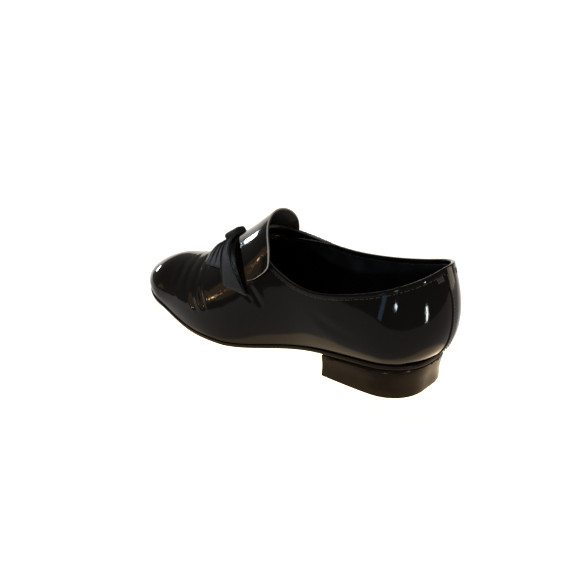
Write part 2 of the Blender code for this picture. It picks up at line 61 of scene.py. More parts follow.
# %% [markdown]
# ## Camera
#
# The photographer stood behind the shoe on its outer side and looked down a little, so the heel
# is near and the toe far. The camera is placed by where it stands round the shoe, with a small
# roll, and aimed so that the shoe lies where it does in the picture. The lens is that of a
# short portrait camera.

# %% Place the camera
CAMERA_AZIMUTH, CAMERA_ELEVATION, CAMERA_ROLL = 133.0, 19.74, -0.97   # degrees
CAMERA_AIM = Vector((0.0015, 0.0019, 0.040))
CAMERA_DISTANCE, CLIP_NEAR, CLIP_FAR = 0.5498, 0.01, 20.0
CAMERA_LENS, SENSOR, PICTURE = 45.47, 36.0, 580   # mm, mm and pixels
AIM_SEEN = Vector((-6.2, 2.4))  # pixels from the picture's middle to where the aim shows


def direction(azimuth, elevation):
    """From the shoe towards a place round it; 0 is in front of the toe, angles in radians."""
    level = math.cos(elevation)
    return Vector((math.sin(azimuth) * level, -math.cos(azimuth) * level, math.sin(elevation)))


camera_azimuth = math.radians(CAMERA_AZIMUTH)
back = direction(camera_azimuth, math.radians(CAMERA_ELEVATION))
right = Vector((0, 0, 1)).cross(back).normalized()
level_view = Matrix((right, back.cross(right), back)).transposed()
roll = Matrix.Rotation(math.radians(CAMERA_ROLL), 3, "Z")
focal_pixels = CAMERA_LENS / SENSOR * PICTURE
aim_ray = Vector((AIM_SEEN.x / focal_pixels, AIM_SEEN.y / focal_pixels, -1.0))
swing = aim_ray.rotation_difference(Vector((0, 0, -1))).to_matrix()

camera_data = bpy.data.cameras.new("camera")
camera_data.lens, camera_data.sensor_width = CAMERA_LENS, SENSOR
camera_data.clip_start, camera_data.clip_end = CLIP_NEAR, CLIP_FAR
camera = bpy.data.objects.new("camera", camera_data)
bpy.context.scene.collection.objects.link(camera)
bpy.context.scene.camera = camera
camera_place = CAMERA_AIM + back * CAMERA_DISTANCE
camera.matrix_world = Matrix.Translation(camera_place) @ (level_view @ roll @ swing).to_4x4()
print("camera at", [round(v, 3) for v in camera_place])

# %% [markdown]
# ## Studio
#
# Patent leather is a black mirror, so what it shows is the room. Here that is a white table, a
# white sheet behind it, a dim warm room, and a few lamps. The table ends just outside the
# picture: it gives the grey low on the shoe's side, and the dim room beyond its front edge gives
# the dark above. The sheet is one grid that lies flat and then bends up far behind, so no corner
# shows and the toe hardly mirrors it.

# %% Make the table and the sheet behind it
TABLE_HALF_WIDTH, TABLE_FRONT, TABLE_BACK = 1.7, 0.29, 2.2
SHEET_BEND, SHEET_RISE = 0.15, 0.35
SHEET_COLUMNS, SHEET_ROWS = 12, 90


def deselect_all():
    bpy.ops.object.select_all(action="DESELECT")


def activate(piece):
    deselect_all()
    piece.select_set(True)
    bpy.context.view_layer.objects.active = piece


def sheet_place(travelled):
    """Distance from the camera's side and height after this way over the table and up."""
    bend_length = SHEET_BEND * math.pi / 2
    turned = min(max(travelled - TABLE_BACK, 0.0) / SHEET_BEND, math.pi / 2)
    flat, rise = min(travelled, TABLE_BACK), max(travelled - TABLE_BACK - bend_length, 0.0)
    return flat + SHEET_BEND * math.sin(turned), SHEET_BEND * (1 - math.cos(turned)) + rise


deselect_all()
bpy.ops.mesh.primitive_grid_add(x_subdivisions=SHEET_COLUMNS, y_subdivisions=SHEET_ROWS, size=1.0)
table = bpy.context.object
table.name = "table"
whole_way = TABLE_FRONT + TABLE_BACK + SHEET_BEND * math.pi / 2 + SHEET_RISE
for vert in table.data.vertices:
    away, height = sheet_place((vert.co.y + 0.5) * whole_way - TABLE_FRONT)
    vert.co = (vert.co.x * 2 * TABLE_HALF_WIDTH, away, height)
bpy.ops.object.shade_smooth()
table.data.transform(Matrix.Rotation(camera_azimuth, 4, "Z"))
print("table and sheet:", len(table.data.polygons), "faces")

# %% [markdown]
# Lamps and the dim room come next. Area lamps are flat panels, so each shows in the patent
# leather as a window. The leather mirrors one direction at each spot, so a panel is hung where
# the photograph's highlight asks for it: low and cool for the toe, the tab and the counter at
# the heel, small and warm for the gleam on the creases, wide and warm for the brown sheen over
# it. Two more are wide and soft: one behind the heel, and one that lights the table from above.

# %% Hang the lamps and tint the room
ROOM_COLOUR, ROOM_STRENGTH = (1.0, 0.93, 0.83), 0.26
LAMPS = (   # name; azimuth, elevation and lean in degrees; distance, width and height in m; W
    ("toe_window", (-7, 8, 0), 1.2, (0.13, 0.06), 2.4, (0.74, 0.90, 1.0)),
    ("counter_window", (163, -5, 22), 1.2, (0.05, 0.24), 8.0, (0.92, 0.97, 1.0)),
    ("side_window", (104, 5, -20), 1.2, (0.11, 0.06), 3.8, (0.74, 0.88, 1.0)),
    ("warm_lamp", (33, 5, 0), 1.2, (0.022, 0.018), 0.18, (1.0, 0.58, 0.26)),
    ("warm_wall", (36, 10, 0), 1.2, (0.40, 0.30), 0.45, (1.0, 0.62, 0.34)),
    ("blue_panel", (80, 2, -12), 1.2, (0.13, 0.32), 0.75, (0.32, 0.58, 1.0)),
    ("back_wall", (226, 4, 0), 1.2, (0.40, 0.60), 4.5, (1.0, 0.82, 0.62)),
    ("table_light", (313, 72, 0), 1.6, (0.9, 0.7), 6.0, (1.0, 0.97, 0.93)),
)


def hang_lamp(name, angles, distance, size, power, colour):
    """Adds a panel that faces the shoe from this direction, leaning round its own middle."""
    azimuth, elevation, lean = (math.radians(angle) for angle in angles)
    towards = direction(azimuth, elevation)
    lamp = bpy.data.lights.new(name, "AREA")
    lamp.shape, lamp.size, lamp.size_y = "RECTANGLE", size[0], size[1]
    lamp.energy, lamp.color = power, colour
    held = bpy.data.objects.new(name, lamp)
    held.location = towards * distance + CAMERA_AIM
    held.rotation_mode = "QUATERNION"
    tilt = Quaternion((0, 0, 1), lean)
    held.rotation_quaternion = towards.to_track_quat("Z", "Y") @ tilt
    bpy.context.scene.collection.objects.link(held)


for row in LAMPS:
    hang_lamp(*row)

room = bpy.data.worlds.new("room")
room.use_nodes = True
room.node_tree.nodes["Background"].inputs["Color"].default_value = (*ROOM_COLOUR, 1.0)
room.node_tree.nodes["Background"].inputs["Strength"].default_value = ROOM_STRENGTH
bpy.context.scene.world = room
bpy.context.scene.view_settings.view_transform = "Standard"

# %% [markdown]
# ## Shader sums in Python
#
# A finish is a small tree of nodes. Written with plain sums it stays readable, so a socket is
# wrapped in a class whose operators add the Math node that does the sum. Every other node comes
# from one method, which takes the node's type, its settings and what feeds its sockets.

# %% Wrap a socket and a material
class Value:
    """A node's output that can be added and multiplied like a number."""

    def __init__(self, finish, output):
        self.finish, self.output = finish, output

    def sum(self, operation, first, second):
        return self.finish.node("ShaderNodeMath", {"operation": operation}, {0: first, 1: second})

    def __add__(self, other):
        return self.sum("ADD", self, other)

    def __sub__(self, other):
        return self.sum("SUBTRACT", self, other)

    def __rsub__(self, other):
        return self.sum("SUBTRACT", other, self)

    def __mul__(self, other):
        return self.sum("MULTIPLY", self, other)

    __radd__, __rmul__ = __add__, __mul__


class Finish:
    """A material made of a Principled shader and the nodes that feed it."""

    def __init__(self, name, colour, roughness, **uniform):
        self.material = bpy.data.materials.new(name)
        self.material.use_nodes = True
        self.tree = self.material.node_tree
        self.shader = self.tree.nodes["Principled BSDF"]
        self.feed("Base Color", (*colour, 1.0))
        self.feed("Roughness", roughness)
        for socket, value in uniform.items():
            self.feed(socket.replace("_", " "), value)
        self.place = self.node("ShaderNodeTexCoord", output="Object")

    def feed(self, socket, value, node=None):
        target = (node or self.shader).inputs[socket]
        if isinstance(value, Value):
            self.tree.links.new(value.output, target)
        else:
            target.default_value = value

    def node(self, kind, settings=None, sockets=None, output=0):
        made = self.tree.nodes.new(kind)
        for name, value in (settings or {}).items():
            setattr(made, name, value)
        for socket, value in (sockets or {}).items():
            self.feed(socket, value, made)
        return Value(self, made.outputs[output])

    def noise(self, scale, detail, roughness=0.5, where=None):
        return self.node("ShaderNodeTexNoise", None, {
            "Vector": where or self.place, "Scale": scale, "Detail": detail,
            "Roughness": roughness})

    def cells(self, scale):
        return self.node("ShaderNodeTexVoronoi", None, {"Vector": self.place, "Scale": scale})

    def spread(self, value, low, high, to_low=0.0, to_high=1.0):
        return self.node("ShaderNodeMapRange", {"interpolation_type": "SMOOTHSTEP"}, {
            "Value": value, "From Min": low, "From Max": high, "To Min": to_low, "To Max": to_high})

    def blend(self, factor, first, second):
        """Mixes two colours, each a plain triple or another node's output."""
        sides = [side if isinstance(side, Value) else (*side, 1.0) for side in (first, second)]
        return self.node("ShaderNodeMix", {"data_type": "RGBA"},
                         {0: factor, 6: sides[0], 7: sides[1]}, output=2)

    def attribute(self, name):
        return self.node("ShaderNodeAttribute", {"attribute_name": name}, output="Fac")

    def bump(self, *layers):
        """Chains Bump nodes; each layer is a height from 0 to 1 and its depth in mm."""
        normal = None
        for height, depth in layers:
            sockets = {"Height": height, "Distance": depth * MM, "Strength": 1.0}
            if normal is not None:
                sockets["Normal"] = normal
            normal = self.node("ShaderNodeBump", None, sockets)
        self.feed("Normal", normal)


print("shader helpers ready")

# %% [markdown]
# ## The finishes
#
# Patent leather is black leather under a thick clear lacquer. The lacquer is the shader's coat,
# and the slightly wavy leather below it is the base layer, whose bump breaks up the mirror a
# little, while tiny dust and scuffs make it duller in spots. The lacquer mirrors little, so that
# the side stays nearly black over a white table and only the lamps stand out.
#
# A noise's scale is how many of its lumps fit in a metre, and its detail adds finer ones.

# %% Patent leather, the lining and a cut edge
patent = Finish("patent leather", (0.0035, 0.0028, 0.0022), 0.07, Specular_IOR_Level=0.03,
                Coat_Weight=1.0, Coat_Roughness=0.02, Coat_IOR=1.12)
pores = patent.noise(scale=2600.0, detail=2.0)
ripple = patent.noise(scale=120.0, detail=2.0, roughness=0.45)
dust = patent.noise(scale=3800.0, detail=4.0, roughness=0.75)
patent.bump((ripple, 0.12), (pores, 0.012))
patent.feed("Roughness", 0.05 + 0.10 * patent.spread(dust, low=0.52, high=0.72))

lining = Finish("black calf lining", (0.0035, 0.0032, 0.0032), 0.5, Specular_IOR_Level=0.35)
worn = lining.noise(scale=60.0, detail=4.0, roughness=0.6)
lining.bump((lining.cells(1500.0), 0.04), (worn, 0.2))
lining.feed("Roughness", lining.spread(worn, low=0.35, high=0.7, to_low=0.38, to_high=0.6))

cut_edge = Finish("cut leather edge", (0.10, 0.09, 0.08), 0.45, Coat_Weight=0.3)
fibres = cut_edge.noise(scale=1800.0, detail=4.0, roughness=0.7)
cut_edge.feed("Base Color", cut_edge.blend(fibres, (0.16, 0.145, 0.13), (0.40, 0.37, 0.34)))
cut_edge.bump((fibres, 0.05))
print("finishes:", patent.material.name, "|", lining.material.name, "|", cut_edge.material.name)

# %% [markdown]
# The ribbon is grosgrain, woven with fine ribs across its width. Each loop will carry an
# attribute "along", the way from the knot in metres, and a sine of it draws the ribs.
#
# The sole's edge is waxed black. Over the seat its gloss and colour fade into the heel's, so no
# step shows between the two. The heel's brown is a painted warm reflection of the table.

# %% Ribbon, sole, heel, insole and thread
RIB_PITCH = 0.8 * MM
ribbon = Finish("grosgrain ribbon", (0.012, 0.013, 0.014), 0.55,
                Sheen_Weight=0.02, Sheen_Roughness=0.4, Specular_IOR_Level=0.06)
rib_angle = ribbon.attribute("along") * (2 * math.pi / RIB_PITCH)
ribs = ribbon.node("ShaderNodeMath", {"operation": "SINE"}, {0: rib_angle}) * 0.5 + 0.5
weave = ribbon.noise(scale=5200.0, detail=3.0, roughness=0.6)
ribbon.feed("Base Color", ribbon.blend(ribs * 0.75 + weave * 0.25,
                                       (0.0075, 0.0082, 0.0088), (0.019, 0.0205, 0.0220)))
ribbon.bump((ribs, 0.12), (weave, 0.04))

SOLE_BLACK = ((0.003, 0.0025, 0.0021), (0.008, 0.0063, 0.005))
# Painted warm reflection: the heel is coloured in these two browns for the warm table it mirrors.
PAINTED_HEEL_REFLECTION = ((0.0035, 0.0022, 0.0012), (0.0105, 0.0066, 0.0036))
SOLE_COAT, HEEL_COAT, SEAT_FADE = 0.5, 0.16, 3 * MM
WAX = {"Coat_Roughness": 0.10, "Coat_IOR": 1.14, "Specular_IOR_Level": 0.03}
heel_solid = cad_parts["heel"]
HEEL_BREAST = min((heel_solid.matrix_world @ v.co).y for v in heel_solid.data.vertices)

sole_leather = Finish("sole leather", (0.010, 0.008, 0.006), 0.34, **WAX)
fibre = sole_leather.noise(scale=420.0, detail=5.0, roughness=0.65)
scuff_and_reflection_patches = sole_leather.noise(scale=70.0, detail=4.0, roughness=0.6)
station = sole_leather.node("ShaderNodeSeparateXYZ", None, {"Vector": sole_leather.place},
                            output="Y")
seat = sole_leather.spread(station, HEEL_BREAST - SEAT_FADE, HEEL_BREAST + SEAT_FADE)
# Over the seat the sole's colour fades into the heel's painted warm reflection; elsewhere the
# patches are scuffs.
sole_leather.feed("Base Color", sole_leather.blend(
    seat, sole_leather.blend(scuff_and_reflection_patches, *SOLE_BLACK), sole_leather.blend(scuff_and_reflection_patches, *PAINTED_HEEL_REFLECTION)))
sole_leather.feed("Coat Weight", SOLE_COAT - (SOLE_COAT - HEEL_COAT) * seat)
sole_leather.feed("Roughness", 0.24 + 0.26 * fibre)
sole_leather.bump((fibre, 0.06))

# The heel's starting brown is painted warm reflection too; the blend below replaces it.
heel_leather = Finish("polished heel leather", (0.010, 0.007, 0.005), 0.24,
                      Coat_Weight=HEEL_COAT, **WAX)
flattened = heel_leather.node("ShaderNodeVectorMath", {"operation": "MULTIPLY"}, {
    0: heel_leather.place, 1: (1.0, 1.0, 5.0)})
edge_fibre = heel_leather.noise(scale=420.0, detail=4.0, roughness=0.65, where=flattened)
heel_blotches = heel_leather.noise(scale=150.0, detail=4.0, roughness=0.6)
# The heel's colour is the painted warm reflection, patchy between its two browns.
heel_leather.feed("Base Color", heel_leather.blend(heel_blotches, *PAINTED_HEEL_REFLECTION))
heel_leather.bump((edge_fibre, 0.05), (heel_blotches, 0.10))
heel_leather.feed("Roughness", 0.16 + 0.14 * edge_fibre)

insole_leather = Finish("insole leather", (0.006, 0.0055, 0.005), 0.46, Specular_IOR_Level=0.4)
insole_leather.bump((insole_leather.cells(1300.0), 0.05))

thread = Finish("waxed thread", (0.010, 0.0095, 0.009), 0.42)
thread.bump((thread.noise(scale=3000.0, detail=2.0), 0.05))
print("ribs every", RIB_PITCH / MM, "mm; the heel starts at y =", round(HEEL_BREAST, 3))

# %% [markdown]
# The table glows a little by itself. Right round the shoe it glows more and warmer, in an oval
# stretched from heel to toe. Both shades are past white in the picture, but the leather mirrors
# them much darker, so the near one shows as the warm band low on the shoe's side.

# %% Light the table
GLOW_NEAR, GLOW_FAR = (3.0, 2.3, 1.5), (0.92, 0.86, 0.80)
OVAL_SQUEEZE, OVAL_SHIFT = (1.0, 0.38, 0.0), (0.0, -0.008, 0.0)
OVAL_INSIDE, OVAL_OUTSIDE, OVAL_WANDER = 0.055, 0.061, 0.012
table_top = Finish("lit table", (0.60, 0.59, 0.58), 0.7, Emission_Strength=1.0)
ground = table_top.node("ShaderNodeVectorMath", {"operation": "MULTIPLY_ADD"}, {
    0: table_top.place, 1: OVAL_SQUEEZE, 2: OVAL_SHIFT})
from_shoe = table_top.node("ShaderNodeVectorMath", {"operation": "LENGTH"}, {0: ground},
                           output="Value")
wander = table_top.noise(scale=14.0, detail=2.0) * OVAL_WANDER - OVAL_WANDER / 2
nearness = table_top.spread(from_shoe + wander, OVAL_INSIDE, OVAL_OUTSIDE, to_low=1.0, to_high=0.0)
table_top.feed("Emission Color", table_top.blend(nearness, GLOW_FAR, GLOW_NEAR))
table.data.materials.append(table_top.material)
print("materials in all:", len(bpy.data.materials))

# %% [markdown]
# ## From solid to smooth piece
#
# The frame's solids are faceted and hard. Each visible piece starts as a copy of its solid: the
# loose triangles are welded and paired into quads, the true edges are creased, and the rest is
# subdivided, so the leather curves without a facet while its cut edges stay crisp.
#
# A wall has two skins, the outside and the lining, and the narrow cut between them. No sharp
# edge lies inside a skin, so each is found as a group of faces that are joined smoothly.

# %% Copy, weld and subdivide
CREASE_ABOVE, SMOOTH_BELOW, SKIN_BREAK = (math.radians(a) for a in (50.0, 45.0, 40.0))
PAIR_FLAT, PAIR_SQUARE, WELD = math.radians(60.0), math.radians(80.0), 0.01 * MM


def smooth_copy(node, levels=2, crease=1.0):
    """A new piece named like its node, in its place and with its shape, only smooth."""
    piece = bpy.data.objects.new("shown_" + node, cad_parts[node].data.copy())
    bpy.context.scene.collection.objects.link(piece)
    piece.data.materials.clear()
    activate(piece)
    if piece.data.has_custom_normals:
        bpy.ops.mesh.customdata_custom_splitnormals_clear()
    bpy.ops.object.mode_set(mode="EDIT")
    bpy.ops.mesh.select_mode(type="EDGE")
    bpy.ops.mesh.select_all(action="SELECT")
    bpy.ops.mesh.remove_doubles(threshold=WELD)
    bpy.ops.mesh.tris_convert_to_quads(face_threshold=PAIR_FLAT, shape_threshold=PAIR_SQUARE)
    bpy.ops.mesh.select_all(action="DESELECT")
    bpy.ops.mesh.edges_select_sharp(sharpness=CREASE_ABOVE)
    bpy.ops.transform.edge_crease(value=crease)
    bpy.ops.object.mode_set(mode="OBJECT")
    modifier = piece.modifiers.new("subdivision", "SUBSURF")
    modifier.levels = modifier.render_levels = levels
    bpy.ops.object.modifier_apply(modifier=modifier.name)
    bpy.ops.object.shade_smooth_by_angle(angle=SMOOTH_BELOW)
    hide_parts(node)
    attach(piece, "root")
    return piece


def points_of(mesh):
    flat = np.empty(len(mesh.vertices) * 3)
    mesh.vertices.foreach_get("co", flat)
    return flat.reshape(-1, 3)


def put_points(mesh, points):
    mesh.vertices.foreach_set("co", points.ravel())
    mesh.update()


SPINE_FRONT, SPINE_BACK, SPINE_HEIGHT = -0.110, 0.098, 0.030
TOE_SPINE_BEFORE, TOE_SPINE_HEIGHT = -0.02, 0.018
OUTSIDE, LINED, CUT = 0, 1, 2   # the three groups of a wall's faces


def outward_of(place):
    """The direction away from a line through the middle of the foot, which is lower at the toes."""
    spine = Vector((0.0, min(max(place.y, SPINE_FRONT), SPINE_BACK), SPINE_HEIGHT))
    if place.y < TOE_SPINE_BEFORE:
        spine.z = TOE_SPINE_HEIGHT
    return (place - spine).normalized()


def outward_all(points):
    return np.array([tuple(outward_of(Vector(point))) for point in points])


def skins(mesh):
    """The faces of the outside, of the lining and of the narrow rest."""
    edit = bmesh.new()
    edit.from_mesh(mesh)
    edit.faces.ensure_lookup_table()
    left, groups = set(range(len(edit.faces))), []
    while left:
        group, waiting = [], [left.pop()]
        while waiting:
            here = waiting.pop()
            group.append(here)
            for edge in edit.faces[here].edges:
                if len(edge.link_faces) == 2 and edge.calc_face_angle() < SKIN_BREAK:
                    for face in edge.link_faces:
                        if face.index in left:
                            left.discard(face.index)
                            waiting.append(face.index)
        area = sum(edit.faces[f].calc_area() for f in group)
        facing = sum(edit.faces[f].normal.dot(outward_of(edit.faces[f].calc_center_median()))
                     * edit.faces[f].calc_area() for f in group) / area
        groups.append((area, facing, group))
    edit.free()
    groups.sort(reverse=True, key=lambda item: item[0])
    outer, inner = sorted(groups[:2], reverse=True, key=lambda item: item[1])
    return outer[2], inner[2], [face for item in groups[2:] for face in item[2]]


def dress_skins(piece, *finishes):
    """Gives the outside, the lining and the narrow cut faces their finishes."""
    for finish in finishes:
        piece.data.materials.append(finish.material)
    groups = skins(piece.data)
    for index, group in enumerate(groups):
        for face in group:
            piece.data.polygons[face].material_index = index
    print(piece.name, "outside, lining and cut faces:", [len(group) for group in groups])


def surface_tree(piece, skin=None):
    """A search tree of the whole surface, or of one skin."""
    faces = [tuple(face.vertices) for face in piece.data.polygons
             if skin is None or face.material_index == skin]
    return BVHTree.FromPolygons([tuple(vert.co) for vert in piece.data.vertices], faces)


upper = smooth_copy("upper")
dress_skins(upper, patent, lining, patent)

# %% [markdown]
# ## Creases of wear
#
# Where the toes bend, leather folds in the same places at every step. Each crease is drawn as a
# few points on the surface and becomes a soft trough with a low ridge on both sides. Besides,
# lacquered leather is never flat: a very shallow waviness makes its mirror wander.

# %% Press the creases into the vamp
CREASES = (   # depth and half width in mm, then points in mm
    (0.75, 2.2, ((-34, -64, 24), (-22, -68, 42), (0, -68, 50), (18, -66, 46), (30, -63, 38),
                 (38, -58, 27))),
    (0.60, 2.0, ((-30, -79, 26), (-12, -81, 43), (12, -79, 42), (27, -75, 35), (36, -70, 25))),
    (0.70, 1.8, ((33, -56, 38), (38, -50, 31), (42, -43, 24))),
    (0.55, 1.6, ((30, -84, 29), (35, -78, 24))),
    (0.60, 1.7, ((36, -64, 30), (40, -57, 23), (42, -50, 18))),
    (0.45, 2.6, ((10, -92, 40), (24, -88, 35), (32, -86, 26))),
    (0.65, 1.9, ((36, 2, 50), (38, 8, 45), (39, 16, 38))),
    (0.45, 1.6, ((38, -2, 45), (39, 8, 40))),
    (0.35, 3.0, ((37, 60, 46), (38, 75, 40), (38, 92, 38))),
    (0.45, 2.4, ((-36, -50, 34), (-40, -40, 28), (-42, -28, 20))),
    (0.50, 2.0, ((-34, -75, 22), (-38, -62, 18))),
)
CREASE_STEPS, CREASE_END, CREASE_FULLNESS = 40, 0.06, 0.6
WANDER, WANDER_RATE, WANDER_ROW, WANDER_LAYER = 1.6 * MM, 90.0, 700.0, 5.0
RIDGE_SHARE, RIDGE_AT, CREASE_REACH = 0.35, 2.1, 5.0   # the last two in half widths
HELD_BELOW, HELD_FADE = 6 * MM, 6 * MM   # the sole holds the leather here
SWELLS = ((0.16, 38.0), (0.07, 15.0), (0.018, 5.0))   # height and wave length, in mm


def crease_line(marks, tree):
    """Points along a crease, lying on the leather, with how strong it is at each."""
    marks = np.array(marks, float) * MM
    way = np.r_[0.0, np.cumsum(np.linalg.norm(np.diff(marks, axis=0), axis=1))]
    at = np.linspace(0.0, way[-1], CREASE_STEPS)
    line = np.column_stack([np.interp(at, way, marks[:, k]) for k in range(3)])
    row = marks[0][1] * WANDER_ROW
    line[:, 1] += WANDER * np.array([noise.noise(Vector((s * WANDER_RATE, row, WANDER_LAYER)))
                                     for s in at])
    line = np.array([tuple(tree.find_nearest(Vector(point))[0]) for point in line])
    bow_shape = np.sin(np.linspace(CREASE_END, math.pi - CREASE_END, CREASE_STEPS))
    return line, bow_shape ** CREASE_FULLNESS


def swell(points, swells):
    """The waviness at each point."""
    lift = np.zeros(len(points))
    for height, wave in swells:
        lift += height * MM * np.array([noise.noise(Vector(p) / (wave * MM)) for p in points])
    return lift


def press_creases(piece):
    points, tree = points_of(piece.data), surface_tree(piece)
    lift = np.zeros(len(points))
    for depth, half_width, marks in CREASES:
        line, strength = crease_line(marks, tree)
        apart = np.linalg.norm(points[:, None, :] - line[None, :, :], axis=2)
        nearest = apart.argmin(1)
        gap = apart[np.arange(len(points)), nearest] / (half_width * MM)
        shape = -np.exp(-gap ** 2) + RIDGE_SHARE * np.exp(-(gap - RIDGE_AT) ** 2)
        lift += depth * MM * shape * strength[nearest] * (gap < CREASE_REACH)
    lift += swell(points, SWELLS)
    free = np.clip((points[:, 2] - HELD_BELOW) / HELD_FADE, 0.0, 1.0)
    put_points(piece.data, points + outward_all(points) * (lift * free)[:, None])
    print("creases:", len(CREASES), "deepest", round(-lift.min() / MM, 2), "mm")


press_creases(upper)

# %% [markdown]
# ## The opening
#
# The leather round the opening is folded over and stitched down, inside and outside. A narrow
# sheath is swept along the upper's own rim: at each step its outline climbs the outer wall a
# little proud of it, rounds the top and runs down the lining. Its stitches lie just below.
#
# The rim is the wall's narrow top, so it has two sharp edges, each a closed ring. The outer ring
# gets evenly spaced points, and each of them a partner on the inner ring.

# %% Find the two edges of the rim
RIM_STEPS, INNER_FINER, RIM_ABOVE = 420, 8, 0.04


def rim_rings():
    """The sharp edges round the opening as two closed rings of points, the outer one first."""
    edit = bmesh.new()
    edit.from_mesh(upper.data)
    near = {}
    for edge in edit.edges:
        low = min(vert.co.z for vert in edge.verts)
        if len(edge.link_faces) == 2 and low > RIM_ABOVE and edge.calc_face_angle() > SKIN_BREAK:
            first, second = edge.verts
            near.setdefault(first.index, []).append(second.index)
            near.setdefault(second.index, []).append(first.index)
    edit.verts.ensure_lookup_table()
    rings = []
    while near:
        ring, here = [], next(iter(near))
        while here is not None:
            ring.append(edit.verts[here].co.copy())
            ways = near.pop(here)
            here = next((there for there in ways if there in near), None)
        rings.append(ring)
    edit.free()
    rings = sorted(rings, key=len)[-2:]
    return sorted(rings, key=lambda ring: -max(point.y for point in ring))


def even_steps(ring, steps):
    """The same closed ring with evenly spaced points, and its length."""
    points = np.array([tuple(point) for point in ring + ring[:1]])
    way = np.r_[0.0, np.cumsum(np.linalg.norm(np.diff(points, axis=0), axis=1))]
    at = np.linspace(0.0, way[-1], steps, endpoint=False)
    return np.column_stack([np.interp(at, way, points[:, k]) for k in range(3)]), way[-1]


def relaxed(values, times=6):
    for _ in range(times):
        values = (np.roll(values, 1, 0) + 2 * values + np.roll(values, -1, 0)) / 4
    return values


def unit(vectors):
    return vectors / np.linalg.norm(vectors, axis=1, keepdims=True)


rings = rim_rings()
rim_outer, rim_length = even_steps(rings[0], RIM_STEPS)
inner_dense, _ = even_steps(rings[1], RIM_STEPS * INNER_FINER)
rim_inner = np.array([inner_dense[np.argmin(((inner_dense - p) ** 2).sum(1))] for p in rim_outer])
rim_outer, rim_inner = relaxed(rim_outer), relaxed(rim_inner)
rim_along = unit(np.roll(rim_outer, -1, 0) - np.roll(rim_outer, 1, 0))
print("rim:", len(rings[0]), "and", len(rings[1]), "points,", round(rim_length / MM), "mm round")

# %% [markdown]
# The sheath follows the wall, so at each step it needs two directions on either side: away from
# the wall, and down along it. Both are read off the wall a little below the rim.

# %% Find the wall's own directions below the rim
LOOK_BELOW = 2 * MM


def wall_sides(edge, tree):
    """Per step of the rim: outward from the wall, and down along it."""
    outs, downs = [], []
    for point, along in zip(edge, rim_along):
        normal = tree.find_nearest(Vector(point) - Vector((0, 0, LOOK_BELOW)))[1]
        down = Vector(along).cross(normal).normalized()
        if down.z > 0:
            down.negate()
        outs.append(tuple(normal))
        downs.append(tuple(down))
    return unit(relaxed(np.array(outs))), unit(relaxed(np.array(downs)))


outer_tree, inner_tree = surface_tree(upper, OUTSIDE), surface_tree(upper, LINED)
outer_out, outer_down = wall_sides(rim_outer, outer_tree)
inner_out, inner_down = wall_sides(rim_inner, inner_tree)
rim_up = -unit(outer_down + inner_down)
print("wall directions:", len(outer_out))

# %% [markdown]
# One side of the sheath's outline is a list of places: how deep below the rim, and how far off
# the wall, as shares of the fold's depth and of how proud it stands. It starts inside the wall,
# so the fold's lower edge meets the leather without a gap.

# %% Sweep the folded edge
FOLD_DEPTH, FOLD_PROUD, FOLD_TOP = 2.6 * MM, 0.28 * MM, 0.30 * MM
FOLD_SIDE = ((1.0, -0.5), (0.97, 0.55), (0.9, 0.95), (0.5, 1.0), (0.1, 1.0), (-0.04, 0.7))


def new_piece(name, points, faces, finish):
    """A closed smooth piece from its points and faces."""
    mesh = bpy.data.meshes.new(name)
    mesh.from_pydata(points.tolist(), [], faces)
    piece = bpy.data.objects.new(name, mesh)
    bpy.context.scene.collection.objects.link(piece)
    activate(piece)
    bpy.ops.object.mode_set(mode="EDIT")
    bpy.ops.mesh.select_all(action="SELECT")
    bpy.ops.mesh.normals_make_consistent(inside=False)
    bpy.ops.object.mode_set(mode="OBJECT")
    bpy.ops.object.shade_smooth()
    mesh.materials.append(finish.material)
    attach(piece, "root")


def tube_faces(steps, count):
    """Faces between closed outlines of this many points, in steps that end where they start."""
    return [(i * count + k, (i + 1) % steps * count + k,
             (i + 1) % steps * count + (k + 1) % count, i * count + (k + 1) % count)
            for i in range(steps) for k in range(count)]


outline = [rim_outer + outer_down * FOLD_DEPTH * deep + outer_out * FOLD_PROUD * off
           for deep, off in FOLD_SIDE]
outline.append((rim_outer + rim_inner) / 2 + rim_up * FOLD_TOP)
outline += [rim_inner + inner_down * FOLD_DEPTH * deep + inner_out * FOLD_PROUD * off
            for deep, off in reversed(FOLD_SIDE)]
fold_faces = tube_faces(RIM_STEPS, len(outline))
new_piece("topline_fold", np.stack(outline, axis=1).reshape(-1, 3), fold_faces, patent)
print("folded edge:", len(fold_faces), "faces")

# %% [markdown]
# ## Stitches
#
# One stitch is a short rounded bead of thread, half sunk into the leather. It is modelled once
# from a ball, and its points are then laid along each seam.

# %% Model one stitch and lay rows of it
STITCH_LENGTH, STITCH_PITCH, STITCH_RADIUS = 1.7 * MM, 2.3 * MM, 0.24 * MM
BALL_SEGMENTS, BALL_RINGS = 8, 5
SEAM_DEPTH = 3.3 * MM
deselect_all()
bpy.ops.mesh.primitive_uv_sphere_add(segments=BALL_SEGMENTS, ring_count=BALL_RINGS, radius=1.0)
pattern = bpy.context.object
stitch_points = points_of(pattern.data) * (STITCH_RADIUS, STITCH_RADIUS, STITCH_LENGTH / 2)
stitch_faces = [tuple(face.vertices) for face in pattern.data.polygons]
bpy.data.objects.remove(pattern)


def lay_stitches(name, places):
    """Joins one stitch for each place, along and outward direction into one piece."""
    points, faces = [], []
    for place, along, out in places:
        side = np.cross(out, along)
        turn = np.stack((side / np.linalg.norm(side), out, along), axis=0)
        faces += [tuple(v + len(points) * len(stitch_points) for v in f) for f in stitch_faces]
        points.append(stitch_points @ turn + place)
    new_piece(name, np.concatenate(points), faces, thread)
    print(name, len(places), "stitches")


